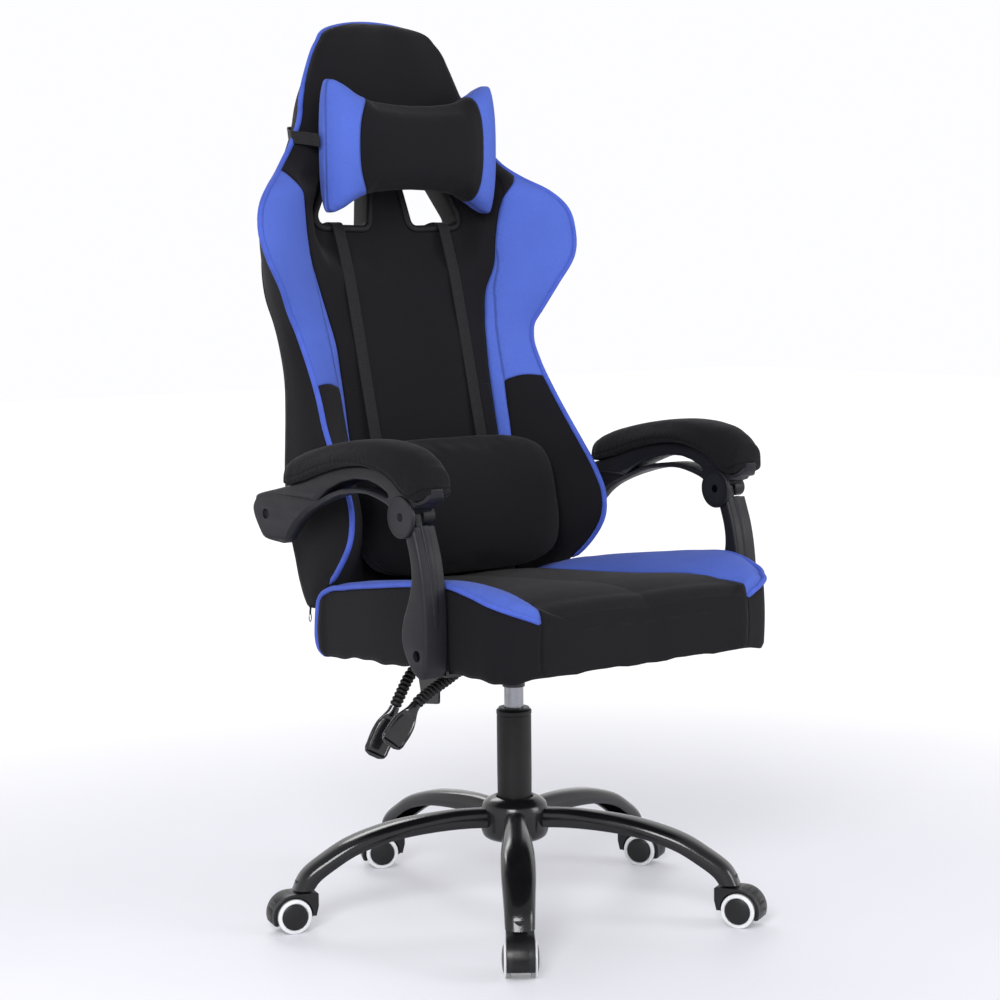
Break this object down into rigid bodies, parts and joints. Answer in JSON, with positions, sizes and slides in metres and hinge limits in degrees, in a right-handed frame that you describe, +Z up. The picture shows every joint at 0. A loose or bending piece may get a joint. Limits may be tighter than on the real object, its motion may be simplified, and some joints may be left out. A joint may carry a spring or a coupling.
{
  "type": "gaming chair",
  "caption": "Reclining bucket-seat chair with a winged back, head and lumbar pillows, linked level armrests, a gas lift and a star base on hooded twin-wheel casters.",
  "frame": {"origin": "on the floor, at the middle of the bounding box's bottom face, about 23 mm behind the gas lift's axis", "axes": "+Z up, the chair faces -Y, +X is on the right when it is seen from the front"},
  "size_m": [0.6928, 0.6711, 1.2914],
  "materials": {
    "black_paint": "satin black powder coat",
    "column_paint": "matt black paint",
    "chrome": "polished",
    "zinc": "zinc plated",
    "castor_plastic": "moulded nylon",
    "white_plastic": "moulded nylon, pale tread",
    "arm_plastic": "fine textured moulding",
    "rubber": "matt corrugated sleeve",
    "black_fabric": "woven cover with blue panels",
    "webbing": "nylon webbing",
    "plywood": "raw plywood",
    "gloss_plastic": "glossy moulding"
  },
  "bodies": {
    "base": {"base_hub": "black_paint", "base_leg_1": "black_paint", "base_leg_2": "black_paint", "base_leg_3": "black_paint", "base_leg_4": "black_paint", "base_leg_5": "black_paint", "lift_column": "column_paint", "column_bush": "castor_plastic"},
    "piston": {"piston_rod": "chrome"},
    "seat": {"gas_cylinder": "chrome", "mechanism_housing": "black_paint", "hinge_pin": "zinc", "seat_board": "plywood", "seat_cushion": "black_fabric", "side_bracket_left": "black_paint", "side_bracket_right": "black_paint", "post_bolt_left": "zinc", "post_bolt_right": "zinc"},
    "back": {"back_bar": "black_paint", "back_cushion": "black_fabric", "slot_bezel_left": "castor_plastic", "slot_bezel_right": "castor_plastic", "lumbar_strap_left": "webbing", "lumbar_strap_right": "webbing", "head_strap": "webbing", "head_pillow": "black_fabric", "lumbar_pillow": "black_fabric"},
    "valve": {"valve_button": "zinc"},
    "height_lever": {"height_lever_rod": "zinc", "height_lever_sleeve": "rubber", "height_lever_handle": "gloss_plastic"},
    "recline_lever": {"recline_lever_rod": "zinc", "recline_lever_sleeve": "rubber", "recline_lever_handle": "gloss_plastic"},
    "post_left": {"arm_post_left": "arm_plastic"},
    "armrest_left": {"arm_frame_left": "arm_plastic", "arm_pad_left": "black_fabric", "knuckle_pin_left": "zinc", "rear_bolt_left": "zinc"},
    "post_right": {"arm_post_right": "arm_plastic"},
    "armrest_right": {"arm_frame_right": "arm_plastic", "arm_pad_right": "black_fabric", "knuckle_pin_right": "zinc", "rear_bolt_right": "zinc"},
    "caster_1": {"caster_body_1": "castor_plastic"},
    "wheel_1_left": {"caster_wheel_1_left": "white_plastic"},
    "wheel_1_right": {"caster_wheel_1_right": "white_plastic"},
    "caster_2": {"caster_body_2": "castor_plastic"},
    "wheel_2_left": {"caster_wheel_2_left": "white_plastic"},
    "wheel_2_right": {"caster_wheel_2_right": "white_plastic"},
    "caster_3": {"caster_body_3": "castor_plastic"},
    "wheel_3_left": {"caster_wheel_3_left": "white_plastic"},
    "wheel_3_right": {"caster_wheel_3_right": "white_plastic"},
    "caster_4": {"caster_body_4": "castor_plastic"},
    "wheel_4_left": {"caster_wheel_4_left": "white_plastic"},
    "wheel_4_right": {"caster_wheel_4_right": "white_plastic"},
    "caster_5": {"caster_body_5": "castor_plastic"},
    "wheel_5_left": {"caster_wheel_5_left": "white_plastic"},
    "wheel_5_right": {"caster_wheel_5_right": "white_plastic"}
  },
  "joints": [
    {"name": "swivel", "type": "hinge", "parent": "base", "child": "piston", "pos_m": [0, -0.023, 0.11], "axis": [0, 0, 1], "continuous": true},
    {"name": "height", "type": "slide", "parent": "piston", "child": "seat", "axis": [0, 0, 1], "range_m": [-0.02, 0.08]},
    {"name": "recline", "type": "hinge", "parent": "seat", "child": "back", "pos_m": [0, 0.139, 0.402], "axis": [-1, 0, 0], "range_deg": [0, 40]},
    {"name": "height_lever", "type": "hinge", "parent": "seat", "child": "height_lever", "pos_m": [-0.0635, -0.063, 0.386], "axis": [0, 1, 0], "range_deg": [0, 4], "stiffness_Nm_per_rad": 4, "springref_deg": -4.58},
    {"name": "recline_lever", "type": "hinge", "parent": "seat", "child": "recline_lever", "pos_m": [-0.0635, 0.007, 0.38], "axis": [0, 1, 0], "range_deg": [0, 8], "stiffness_Nm_per_rad": 4, "springref_deg": -4.58},
    {"name": "valve", "type": "slide", "parent": "seat", "child": "valve", "axis": [0, 0, -1], "range_m": [0, 0.0045]},
    {"name": "post_left", "type": "hinge", "parent": "seat", "child": "post_left", "pos_m": [-0.28, -0.197, 0.424], "axis": [-1, 0, 0], "range_deg": [0, 40]},
    {"name": "armrest_left", "type": "hinge", "parent": "post_left", "child": "armrest_left", "pos_m": [-0.28, -0.171, 0.604], "axis": [1, 0, 0], "range_deg": [0, 40]},
    {"name": "post_right", "type": "hinge", "parent": "seat", "child": "post_right", "pos_m": [0.28, -0.197, 0.424], "axis": [-1, 0, 0], "range_deg": [0, 40]},
    {"name": "armrest_right", "type": "hinge", "parent": "post_right", "child": "armrest_right", "pos_m": [0.28, -0.171, 0.604], "axis": [1, 0, 0], "range_deg": [0, 40]},
    {"name": "caster_swivel_1", "type": "hinge", "parent": "base", "child": "caster_1", "pos_m": [-0.19115, -0.27211, 0.06], "axis": [0, 0, 1], "continuous": true},
    {"name": "wheel_spin_1_left", "type": "hinge", "parent": "caster_1", "child": "wheel_1_left", "pos_m": [-0.20333, -0.28798, 0.02469], "axis": [0.7934, -0.6088, 0], "continuous": true},
    {"name": "wheel_spin_1_right", "type": "hinge", "parent": "caster_1", "child": "wheel_1_right", "pos_m": [-0.20333, -0.28798, 0.02469], "axis": [0.7934, -0.6088, 0], "continuous": true},
    {"name": "caster_swivel_2", "type": "hinge", "parent": "base", "child": "caster_2", "pos_m": [0.17785, -0.28178, 0.06], "axis": [0, 0, 1], "continuous": true},
    {"name": "wheel_spin_2_left", "type": "hinge", "parent": "caster_2", "child": "wheel_2_left", "pos_m": [0.18709, -0.29952, 0.02469], "axis": [0.887, 0.4617, 0], "continuous": true},
    {"name": "wheel_spin_2_right", "type": "hinge", "parent": "caster_2", "child": "wheel_2_right", "pos_m": [0.18709, -0.29952, 0.02469], "axis": [0.887, 0.4617, 0], "continuous": true},
    {"name": "caster_swivel_3", "type": "hinge", "parent": "base", "child": "caster_3", "pos_m": [0.30107, 0.06618, 0.06], "axis": [0, 0, 1], "continuous": true},
    {"name": "wheel_spin_3_left", "type": "hinge", "parent": "caster_3", "child": "wheel_3_left", "pos_m": [0.31122, 0.04895, 0.02469], "axis": [0.8616, 0.5075, 0], "continuous": true},
    {"name": "wheel_spin_3_right", "type": "hinge", "parent": "caster_3", "child": "wheel_3_right", "pos_m": [0.31122, 0.04895, 0.02469], "axis": [0.8616, 0.5075, 0], "continuous": true},
    {"name": "caster_swivel_4", "type": "hinge", "parent": "base", "child": "caster_4", "pos_m": [0.00822, 0.29089, 0.06], "axis": [0, 0, 1], "continuous": true},
    {"name": "wheel_spin_4_left", "type": "hinge", "parent": "caster_4", "child": "wheel_4_left", "pos_m": [-0.00936, 0.30044, 0.02469], "axis": [-0.4772, -0.8788, 0], "continuous": true},
    {"name": "wheel_spin_4_right", "type": "hinge", "parent": "caster_4", "child": "wheel_4_right", "pos_m": [-0.00936, 0.30044, 0.02469], "axis": [-0.4772, -0.8788, 0], "continuous": true},
    {"name": "caster_swivel_5", "type": "hinge", "parent": "base", "child": "caster_5", "pos_m": [-0.29599, 0.08181, 0.06], "axis": [0, 0, 1], "continuous": true},
    {"name": "wheel_spin_5_left", "type": "hinge", "parent": "caster_5", "child": "wheel_5_left", "pos_m": [-0.31517, 0.0875, 0.02469], "axis": [-0.284, -0.9588, 0], "continuous": true},
    {"name": "wheel_spin_5_right", "type": "hinge", "parent": "caster_5", "child": "wheel_5_right", "pos_m": [-0.31517, 0.0875, 0.02469], "axis": [-0.284, -0.9588, 0], "continuous": true}
  ],
  "couplings": [
    {"joint": "valve", "follows": "height_lever", "m_per_rad": 0.0635},
    {"joint": "post_left", "follows": "recline", "ratio": 1},
    {"joint": "armrest_left", "follows": "recline", "ratio": 1},
    {"joint": "post_right", "follows": "recline", "ratio": 1},
    {"joint": "armrest_right", "follows": "recline", "ratio": 1}
  ]
}
